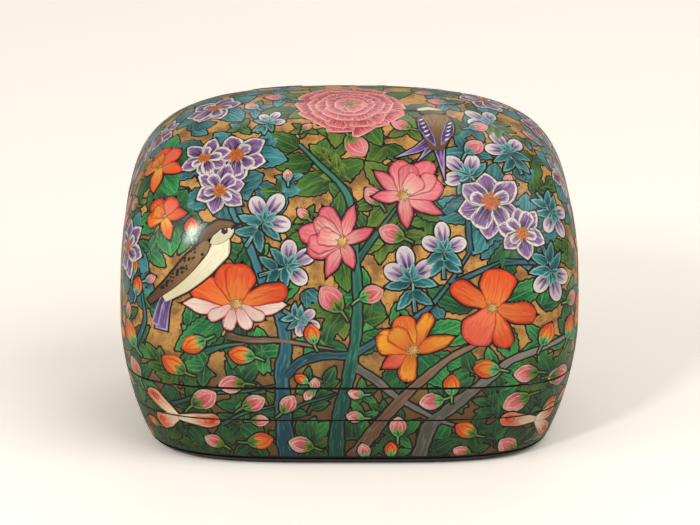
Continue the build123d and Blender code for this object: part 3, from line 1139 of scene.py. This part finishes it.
for atBack in (False, True):
    for width, paint, trail in branches:
        points = [spot(*(float(number) for number in pixel.split(","))) for pixel in trail.split()]
        points = [behind(point) if atBack else point for point in points if point is not None]
        branch(points, width, paint, ranks["branches"] + rng.uniform(0, 0.3))
    for pixel, kind, room in birds:
        point = behind(spot(*pixel)) if atBack else spot(*pixel)
        if not atBack or free(point, room, 0.8):
            paintBird(point, kind, room)
    for x, y, kind, size, turn in blooms:
        point = spot(x, y)
        if point is not None and (not atBack or free(behind(point), size, 0.85)):
            paintBloom(behind(point) if atBack else point, kind, size, turn + (jitter(30) if atBack else 0))
print("front and back blossoms:", len(taken), "strokes:", len(strokes))

# blossoms for the two ends and the top, at random places
usable = faceCentres[:, 2] > form["footRound"]
chances = faceAreas * usable
candidates = faceCentres[rng.choice(len(faceCentres), 5200, p=chances / chances.sum())]
toFront, toBack = np.array(towards), np.array(towards) * (-1, -1, 1)
sizes = {"star": 9.0, "lotus": 9.0, "wildRose": 12.0, "amber": 9.5, "water": 14.0, "marigold": 8.0}
for point in candidates[:500]:
    kind = rng.choice(["star", "star", "lotus", "wildRose", "amber", "marigold", "lotus", "water"])
    normal = placeAt(point)[3]
    planned = max(normal @ toFront, normal @ toBack) > 0.4
    if point[2] > 42 and not planned and free(point, sizes[kind], 1.12):
        paintBloom(point, kind, sizes[kind], jitter(50))
print("blossoms and birds:", len(taken), "strokes:", len(strokes))
wrapStrokes()


def bareShare(points, radius, samples=18):
    # how much of the disc round each point is still bare ground
    angle = np.arange(samples) * 2.399963
    away = radius * np.sqrt((np.arange(samples) + 0.5) / samples)
    surface, normal, cell = settle(points)
    upwards = np.array((0.1, 0.35, 1.0))
    north = unit(upwards - normal * (normal @ upwards)[:, None])
    east = np.cross(north, normal)
    offsets = (
        east[:, None] * (away * np.cos(angle))[None, :, None]
        + north[:, None] * (away * np.sin(angle))[None, :, None]
    ).reshape(-1, 3)
    found, normal, cell = spread(np.repeat(surface, samples, axis=0), offsets, 3)
    return 1 - covered[cell].reshape(-1, samples).mean(1)


for atBack in (False, True):
    for pixel, size, turn in sprigs:
        point = behind(spot(*pixel)) if atBack else spot(*pixel)
        if not atBack or free(point, size * 0.6):
            lay("buds", placeAt(point, turn), trioSprig(size, sprayGreens["teal"]), ranks["sprigs"])
    for paint, places in buds.items():
        for pixel, size, turn in places:
            point = spot(*pixel)
            if point is not None and (not atBack or free(behind(point), size * 0.5)):
                paintBud(behind(point) if atBack else point, size, turn, paint)
    for pixel, reach, count, direction, arc, green in sprays:
        point = spot(*pixel)
        if point is None or atBack and not free(behind(point), 0):
            continue
        place = placeAt(behind(point) if atBack else point)
        spray = leafSpray(reach, sprayGreens[green], count, 0.03, 0.33, arc, direction - arc / 2)
        lay("leaves", place, spray, ranks["leaves"])
wrapStrokes()

# the gaps, filled from large to small; what stays bare is the gold between the motifs
fills = (  # room in mm, least bare share, spacing, shares of sprig, bud, twig and spray
    (8.5, 0.8, 1.7, (0.25, 0.35, 0.3, 0.1)),
    (6.2, 0.78, 1.8, (0.1, 0.5, 0.2, 0.2)),
    (4.2, 0.84, 2.0, (0.0, 0.5, 0.0, 0.5)),
)
budPaints = {"star": ("budPink", "lowPink"), "lotus": ("budPink",), "dahlia": ("budPink",)}
for room, least, spacing, shares in fills:
    order = candidates[rng.permutation(len(candidates))]
    placed = []
    for point, bare in zip(order, bareShare(order, room)):
        low = point[2] < 34
        if bare < (least - 0.22 if low else least):
            continue
        if any(np.linalg.norm(point - other) < room * (spacing - 0.3 * low) for other in placed):
            continue
        placed.append(point)
        greens, kind = greensNear(point)
        if low:
            greens = ("leafGreen", "leafDark")
        elif kind == "star":
            greens = ("leafTeal", "leafGreen", "leafGreen")
        motif = rng.choice(["sprig", "bud", "twig", "spray"], p=shares)
        turn = rng.uniform(-80, 80)
        if motif == "sprig" and kind == "star":
            lay("buds", placeAt(point, turn), trioSprig(room, greens), ranks["sprigs"])
        elif motif == "bud":
            choices = ("orange", "lowPink", "lowPink") if low else budPaints.get(kind, ("orange", "orange", "budPink"))
            paintBud(point, room * rng.uniform(0.85, 1.1), turn, choices[rng.integers(len(choices))])
        elif motif == "spray":
            count = int(rng.integers(3, 5))
            lay("leaves", placeAt(point), leafSpray(room * 1.1, greens, count, 0.03, 0.32, 360, turn), ranks["leaves"])
        else:
            lay("leaves", placeAt(point, turn), twig(room * 1.6, greens), ranks["leaves"])
    wrapStrokes()
    print("gaps of", room, "mm:", len(placed), "motifs, strokes:", len(strokes))
print("bare ground:", round(float(bareShare(candidates, 1.0, 3).mean()), 3))

# each stroke lies one coat above the highest one that it crosses; an outline is a double coat
strokes.sort(key=lambda stroke: stroke["rank"])
height = np.zeros(len(covered), np.int16)
mates = None
for stroke in strokes:
    if stroke["mates"] is None or stroke["mates"] != mates:
        mates = stroke["mates"]
        below = height if mates is None else height.copy()
    stroke["level"] = below[stroke["cells"]].max() + 1
    top = stroke["level"] + (stroke["kind"] == "outlines")
    height[stroke["cells"]] = np.maximum(height[stroke["cells"]], top)
coat = min(skin["coat"], (skin["depth"] - skin["lift"] - 0.01) / int(height.max()))
print("coats:", int(height.max()), "coat thickness:", round(coat, 4))

bodies = {  # body: bottom and top of the painted part
    "lid": (form["upperLine"] + 0.4, None),
    "tray": (form["lowerLine"] + 0.26, form["upperLine"] - 0.4),
    "base": (skin["footBand"], form["lowerLine"] - 0.26),
}


def gather(chosen, name):
    return np.concatenate([stroke[name] for stroke in chosen])


def paintPiece(kind, chosen):
    # joins the strokes of one kind, gives them their paint as attributes, and cuts them at the saw lines
    bm = bmesh.new()
    for stroke in chosen:
        bm.from_mesh(stroke["mesh"])
    whole = bpy.data.meshes.new(kind)
    bm.to_mesh(whole)
    bm.free()
    counts = [len(stroke["run"]) for stroke in chosen]
    levels = np.repeat([stroke["level"] for stroke in chosen], counts)
    lift = skin["lift"] + coat * levels - skin["depth"]
    points = gather(chosen, "points") + gather(chosen, "normals") * lift[:, None]
    whole.vertices.foreach_set("co", points.astype(np.float32).ravel())
    if kind == "outlines":
        edges = gather(chosen, "brushPlace")[:, 2]
    else:
        values = {"brushPlace": gather(chosen, "brushPlace")}
        for index, name in enumerate(("rootColour", "tipColour", "rimColour")):
            tones = np.array([linear(paints[stroke["paint"]][index]) for stroke in chosen])
            values[name] = np.repeat(tones * rng.uniform(0.86, 1.12, (len(chosen), 1)), counts, axis=0)
        seeds = np.repeat(rng.uniform(0, 10, len(chosen)), counts)
        rims = np.repeat([paints[stroke["paint"]][3] for stroke in chosen], counts)
        values["brushHabit"] = np.stack([seeds, gather(chosen, "run"), rims], -1)
        for name, value in values.items():
            isColour = value.shape[1] == 4
            layer = whole.attributes.new(name, "FLOAT_COLOR" if isColour else "FLOAT_VECTOR", "POINT")
            layer.data.foreach_set("color" if isColour else "vector", value.astype(np.float32).ravel())
    for body, (bottom, top) in bodies.items():
        bm = bmesh.new()
        bm.from_mesh(whole)
        if kind == "outlines":  # the middle of an outline lies hidden under its own stroke
            hidden = edges > brush["ink"] + 0.45
            under = [face for face in bm.faces if all(hidden[vert.index] for vert in face.verts)]
            bmesh.ops.delete(bm, geom=under, context="FACES")
        cutLevel(bm, bottom, "below")
        if top:
            cutLevel(bm, top, "above")
        if not bm.faces:
            bm.free()
            continue
        piece = finishPiece(bm, body + "_" + kind, body, [paintMaterials[kind]])
        mesh = piece.data
        surface, normal, cell = settle(readPlaces(mesh.vertices, "co") / millimetre)
        mesh.normals_split_custom_set_from_vertices(normal.tolist())
        print("piece", piece.name, "faces", len(mesh.polygons))


for kind in paintMaterials:
    paintPiece(kind, [stroke for stroke in strokes if stroke["kind"] == kind])

# the floor, the lamps and the pale room that the varnish mirrors
studio = {"paper": "#fdf6ed", "gain": 1.42, "world": 0.3, "key": 11.4, "fill": 3.0, "back": 2.6, "window": 4.4}


def floorPaper():
    # matt cream paper: the camera sees it a little paler than the lamps make it, and it keeps the box's shadow
    material, tree, shader = newMaterial("cream_paper")
    tree.nodes.remove(shader)
    seen = [channel * studio["gain"] for channel in linear(studio["paper"])[:3]] + [1.0]
    shown = add(tree, "BsdfDiffuse", None, {"Color": seen})
    real = add(tree, "BsdfDiffuse", None, {"Color": linear("#d9d3ca")})
    path = add(tree, "LightPath")
    both = add(
        tree,
        "MixShader",
        None,
        {0: path.outputs["Is Camera Ray"], 1: real.outputs[0], 2: shown.outputs[0]},
    )
    tree.links.new(both.outputs[0], tree.nodes["Material Output"].inputs["Surface"])
    return material


bm = bmesh.new()
bmesh.ops.create_grid(bm, x_segments=1, y_segments=1, size=6)
floorMesh = bpy.data.meshes.new("floor")
bm.to_mesh(floorMesh)
bm.free()
floorMesh.materials.append(floorPaper())
floor = bpy.data.objects.new("floor", floorMesh)
bpy.context.scene.collection.objects.link(floor)

world = bpy.data.worlds.new("studio")
bpy.context.scene.world = world
world.use_nodes = True
sky = world.node_tree
background = sky.nodes["Background"]
background.inputs["Color"].default_value = linear("#fbf7f0")
background.inputs["Strength"].default_value = studio["world"]
backdrop = add(sky, "Background", None, {"Color": linear(studio["paper"]), "Strength": 1.0})
path = add(sky, "LightPath")
chosen = add(
    sky,
    "MixShader",
    None,
    {0: path.outputs["Is Camera Ray"], 1: background.outputs[0], 2: backdrop.outputs[0]},
)
sky.links.new(chosen.outputs[0], sky.nodes["World Output"].inputs["Surface"])


def softBox(name, place, aim, size, power):
    data = bpy.data.lights.new(name, "AREA")
    data.shape = "RECTANGLE"
    data.size, data.size_y = size
    data.energy = power
    lamp = bpy.data.objects.new(name, data)
    bpy.context.scene.collection.objects.link(lamp)
    lamp.location = place
    lamp.rotation_euler = (Vector(aim) - Vector(place)).to_track_quat("-Z", "Y").to_euler()


softBox("keySoftBox", (0.9, -0.75, 1.15), (0, 0, 0.05), (1.6, 1.3), studio["key"])
softBox("fillSoftBox", (-1.0, -0.6, 0.7), (0, 0, 0.05), (0.8, 0.8), studio["fill"])
softBox("backSoftBox", (0.2, 0.9, 1.0), (0, 0, 0.05), (1.0, 0.6), studio["back"])
softBox("windowSoftBox", (-0.53, -1.0, 0.77), (-0.047, -0.048, 0.08), (0.15, 0.22), studio["window"])
bpy.context.scene.view_settings.view_transform = "Standard"
print("studio ready")
